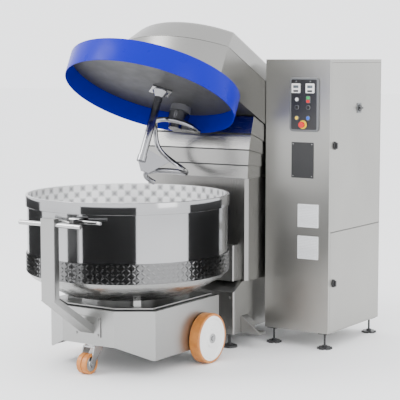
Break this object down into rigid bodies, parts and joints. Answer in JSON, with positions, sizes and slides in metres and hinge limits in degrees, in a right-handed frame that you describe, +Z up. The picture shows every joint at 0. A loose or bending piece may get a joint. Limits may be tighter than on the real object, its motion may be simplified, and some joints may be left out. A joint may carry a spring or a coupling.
{
  "type": "commercial stand mixer",
  "caption": "Floor-standing spiral dough mixer with tilting head, removable bowl on a wheeled trolley, telescopic column shields and a side control cabinet.",
  "frame": {"origin": "on the floor, under the middle of the machine's overall box", "axes": "+Z up, the trolley's handle points to -Y, the control cabinet stands at +X"},
  "size_m": [1.5738, 2.4759, 2.15],
  "materials": {
    "stainless": "fine brushed sheet",
    "polished_steel": "polished",
    "tool_steel": "mirror polished",
    "cast_grey": "cast and painted",
    "cover_blue": "moulded",
    "ceiling_grey": "satin",
    "wheel_white": "moulded",
    "tread_amber": "cast polyurethane",
    "black_plastic": "satin",
    "bezel_grey": "moulded",
    "white_plastic": "moulded",
    "green": "moulded",
    "red": "moulded",
    "yellow": "moulded",
    "blue": "moulded",
    "grille_white": "moulded",
    "equipment": "moulded"
  },
  "bodies": {
    "machine": {"base_housing": "stainless", "machine_feet": "cast_grey", "column_shell": "stainless", "pivot_shaft": "tool_steel", "column_collar": "stainless", "bowl_drive_housing": "stainless", "link_duct": "stainless", "cabinet_carcass": "stainless", "cabinet_feet": "cast_grey", "vent_grilles": "grille_white", "name_plate": "black_plastic", "equipment_plate": "equipment", "control_bezel": "bezel_grey", "control_panel": "black_plastic", "timers": "white_plastic", "button_collars": "bezel_grey"},
    "head": {"head_shell": "stainless", "head_cover": "stainless", "head_arms": "cast_grey", "cover_ring": "cover_blue", "cover_ceiling": "ceiling_grey", "spindle_housing": "cast_grey", "spiral_motor": "cast_grey", "breaker_bar": "tool_steel"},
    "spiral": {"spiral_tool": "tool_steel"},
    "lower_shield": {"lower_shield": "stainless"},
    "middle_shield": {"middle_shield": "stainless"},
    "upper_shield": {"upper_shield": "stainless"},
    "drive_wheel": {"drive_wheel": "black_plastic"},
    "bowl": {"bowl_shell": "polished_steel", "drive_band": "polished_steel", "bowl_base": "stainless"},
    "trolley": {"trolley_body": "stainless", "turntable_frame": "stainless", "wheel_axle": "tool_steel", "handle_post": "stainless", "handle_bar": "polished_steel"},
    "left_wheel": {"left_wheel": "wheel_white", "left_tyre": "tread_amber"},
    "right_wheel": {"right_wheel": "wheel_white", "right_tyre": "tread_amber"},
    "caster": {"caster_fork": "stainless"},
    "caster_wheels": {"caster_wheels": "tread_amber"},
    "release_lever": {"release_lever": "polished_steel"},
    "upper_door": {"upper_door": "stainless", "isolator_plate": "bezel_grey"},
    "lower_door": {"lower_door": "stainless"},
    "upper_latch": {"upper_latch": "black_plastic"},
    "lower_latch": {"lower_latch": "black_plastic"},
    "isolator_knob": {"isolator_knob": "black_plastic"},
    "white_button": {"white_button": "white_plastic"},
    "yellow_button": {"yellow_button": "yellow"},
    "blue_button": {"blue_button": "blue"},
    "emergency_button": {"emergency_button": "red"},
    "start_button": {"start_button": "green"},
    "stop_button": {"stop_button": "red"},
    "left_selector": {"left_selector": "black_plastic"},
    "right_selector": {"right_selector": "black_plastic"},
    "left_timer_key": {"left_timer_key": "black_plastic"},
    "right_timer_key": {"right_timer_key": "black_plastic"}
  },
  "joints": [
    {"name": "head_tilt", "type": "hinge", "parent": "machine", "child": "head", "pos_m": [-0.15, 0.896, 0.827], "axis": [1, 0, 0], "range_deg": [0, 26]},
    {"name": "lower_shield_tilt", "type": "hinge", "parent": "machine", "child": "lower_shield", "pos_m": [-0.15, 0.896, 0.827], "axis": [1, 0, 0], "range_deg": [0, 6.5]},
    {"name": "middle_shield_tilt", "type": "hinge", "parent": "machine", "child": "middle_shield", "pos_m": [-0.15, 0.896, 0.827], "axis": [1, 0, 0], "range_deg": [0, 13]},
    {"name": "upper_shield_tilt", "type": "hinge", "parent": "machine", "child": "upper_shield", "pos_m": [-0.15, 0.896, 0.827], "axis": [1, 0, 0], "range_deg": [0, 19.5]},
    {"name": "spiral_spin", "type": "hinge", "parent": "head", "child": "spiral", "pos_m": [-0.195, 0.03765, 1.24564], "axis": [0, 0.4384, 0.8988], "continuous": true},
    {"name": "trolley_slide", "type": "slide", "parent": "machine", "child": "trolley", "axis": [0, 1, 0], "range_m": [-1.4, 0]},
    {"name": "bowl_spin", "type": "hinge", "parent": "trolley", "child": "bowl", "pos_m": [-0.15, -0.458, 0.5], "axis": [0, 0, 1], "continuous": true},
    {"name": "drive_wheel_spin", "type": "hinge", "parent": "machine", "child": "drive_wheel", "pos_m": [-0.15, 0.2663, 0.6], "axis": [0, 0, 1], "continuous": true},
    {"name": "left_wheel_spin", "type": "hinge", "parent": "trolley", "child": "left_wheel", "pos_m": [-0.15, -0.223, 0.1575], "axis": [1, 0, 0], "continuous": true},
    {"name": "right_wheel_spin", "type": "hinge", "parent": "trolley", "child": "right_wheel", "pos_m": [-0.15, -0.223, 0.1575], "axis": [1, 0, 0], "continuous": true},
    {"name": "caster_swivel", "type": "hinge", "parent": "trolley", "child": "caster", "pos_m": [-0.15, -0.803, 0.17], "axis": [0, 0, 1], "continuous": true},
    {"name": "caster_spin", "type": "hinge", "parent": "caster", "child": "caster_wheels", "pos_m": [-0.15, -0.878, 0.0625], "axis": [1, 0, 0], "continuous": true},
    {"name": "release_lever_pull", "type": "hinge", "parent": "trolley", "child": "release_lever", "pos_m": [-0.032, -1.121, 0.948], "axis": [1, 0, 0], "range_deg": [0, 15], "stiffness_Nm_per_rad": 20},
    {"name": "upper_door_swing", "type": "hinge", "parent": "machine", "child": "upper_door", "pos_m": [0.768, 1.229, 1.342], "axis": [0, 0, 1], "range_deg": [0, 110]},
    {"name": "upper_latch_turn", "type": "hinge", "parent": "upper_door", "child": "upper_latch", "pos_m": [0.765, 0.562, 1.342], "axis": [1, 0, 0], "range_deg": [0, 90]},
    {"name": "lower_door_swing", "type": "hinge", "parent": "machine", "child": "lower_door", "pos_m": [0.768, 1.229, 0.437], "axis": [0, 0, 1], "range_deg": [0, 110]},
    {"name": "lower_latch_turn", "type": "hinge", "parent": "lower_door", "child": "lower_latch", "pos_m": [0.765, 0.562, 0.437], "axis": [1, 0, 0], "range_deg": [0, 90]},
    {"name": "isolator_turn", "type": "hinge", "parent": "upper_door", "child": "isolator_knob", "pos_m": [0.765, 0.903, 1.577], "axis": [1, 0, 0], "range_deg": [0, 90]},
    {"name": "white_button_press", "type": "slide", "parent": "machine", "child": "white_button", "axis": [0, 1, 0], "range_m": [0, 0.003], "stiffness_N_per_m": 600},
    {"name": "yellow_button_press", "type": "slide", "parent": "machine", "child": "yellow_button", "axis": [0, 1, 0], "range_m": [0, 0.003], "stiffness_N_per_m": 600},
    {"name": "blue_button_press", "type": "slide", "parent": "machine", "child": "blue_button", "axis": [0, 1, 0], "range_m": [0, 0.003], "stiffness_N_per_m": 600},
    {"name": "emergency_button_press", "type": "slide", "parent": "machine", "child": "emergency_button", "axis": [0, 1, 0], "range_m": [0, 0.005], "stiffness_N_per_m": 600},
    {"name": "start_button_press", "type": "slide", "parent": "machine", "child": "start_button", "axis": [0, 1, 0], "range_m": [0, 0.003], "stiffness_N_per_m": 600},
    {"name": "stop_button_press", "type": "slide", "parent": "machine", "child": "stop_button", "axis": [0, 1, 0], "range_m": [0, 0.003], "stiffness_N_per_m": 600},
    {"name": "left_selector_turn", "type": "hinge", "parent": "machine", "child": "left_selector", "pos_m": [0.531, 0.475, 1.589], "axis": [0, 1, 0], "range_deg": [-45, 45]},
    {"name": "right_selector_turn", "type": "hinge", "parent": "machine", "child": "right_selector", "pos_m": [0.615, 0.475, 1.589], "axis": [0, 1, 0], "range_deg": [-45, 45]},
    {"name": "left_timer_key_rock", "type": "hinge", "parent": "machine", "child": "left_timer_key", "pos_m": [0.523, 0.4725, 1.695], "axis": [0, 0, 1], "range_deg": [-4, 4], "stiffness_Nm_per_rad": 0.5},
    {"name": "right_timer_key_rock", "type": "hinge", "parent": "machine", "child": "right_timer_key", "pos_m": [0.627, 0.4725, 1.695], "axis": [0, 0, 1], "range_deg": [-4, 4], "stiffness_Nm_per_rad": 0.5}
  ],
  "couplings": [
    {"joint": "lower_shield_tilt", "follows": "head_tilt", "ratio": 0.25},
    {"joint": "middle_shield_tilt", "follows": "head_tilt", "ratio": 0.5},
    {"joint": "upper_shield_tilt", "follows": "head_tilt", "ratio": 0.75},
    {"joint": "drive_wheel_spin", "follows": "bowl_spin", "ratio": -7.2273}
  ]
}
